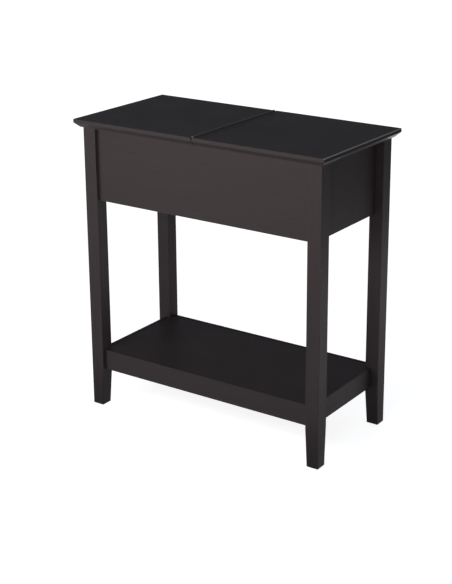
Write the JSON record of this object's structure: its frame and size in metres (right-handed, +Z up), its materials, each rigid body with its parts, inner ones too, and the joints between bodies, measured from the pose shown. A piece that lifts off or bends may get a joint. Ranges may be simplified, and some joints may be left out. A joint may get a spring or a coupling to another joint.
{
  "type": "flip top end table",
  "caption": "Narrow end table on tapered square legs, with a top whose one half flips over on a seam hinge to open a storage box, and a lower shelf.",
  "frame": {"origin": "on the floor, under the middle of the top", "axes": "+Z up, +X along the top towards the half that flips, front towards -Y"},
  "size_m": [0.565, 0.282, 0.602],
  "materials": {
    "espresso_wood": "satin lacquer",
    "hinge_metal": "dark bronze",
    "zinc_steel": "zinc plated",
    "cast_zinc": "as cast",
    "beech": "fluted, raw",
    "glide_plastic": "matt"
  },
  "bodies": {
    "table": {"leg_front_left": "espresso_wood", "leg_front_right": "espresso_wood", "leg_back_right": "espresso_wood", "leg_back_left": "espresso_wood", "front_apron": "espresso_wood", "right_apron": "espresso_wood", "back_apron": "espresso_wood", "left_apron": "espresso_wood", "shelf_front_rail": "espresso_wood", "shelf_right_rail": "espresso_wood", "shelf_back_rail": "espresso_wood", "shelf_left_rail": "espresso_wood", "compartment_floor": "espresso_wood", "shelf_panel": "espresso_wood", "seam_divider": "espresso_wood", "fixed_top": "espresso_wood", "hinge_fixed_leaf": "hinge_metal", "hinge_pin": "hinge_metal", "hinge_fixed_screws": "hinge_metal", "apron_cam_bolts": "zinc_steel", "rail_cam_bolts": "zinc_steel", "top_brackets": "zinc_steel", "bracket_screws": "zinc_steel", "apron_cams": "cast_zinc", "rail_cams": "cast_zinc", "apron_dowels": "beech", "rail_dowels": "beech", "glide_front_left": "glide_plastic", "glide_front_right": "glide_plastic", "glide_back_right": "glide_plastic", "glide_back_left": "glide_plastic"},
    "lid": {"flip_top": "espresso_wood", "hinge_lid_leaf": "hinge_metal", "hinge_lid_screws": "hinge_metal"}
  },
  "joints": [
    {"name": "lid_flip", "type": "hinge", "parent": "table", "child": "lid", "pos_m": [0, 0, 0.6002], "axis": [0, -1, 0], "range_deg": [0, 180]}
  ]
}
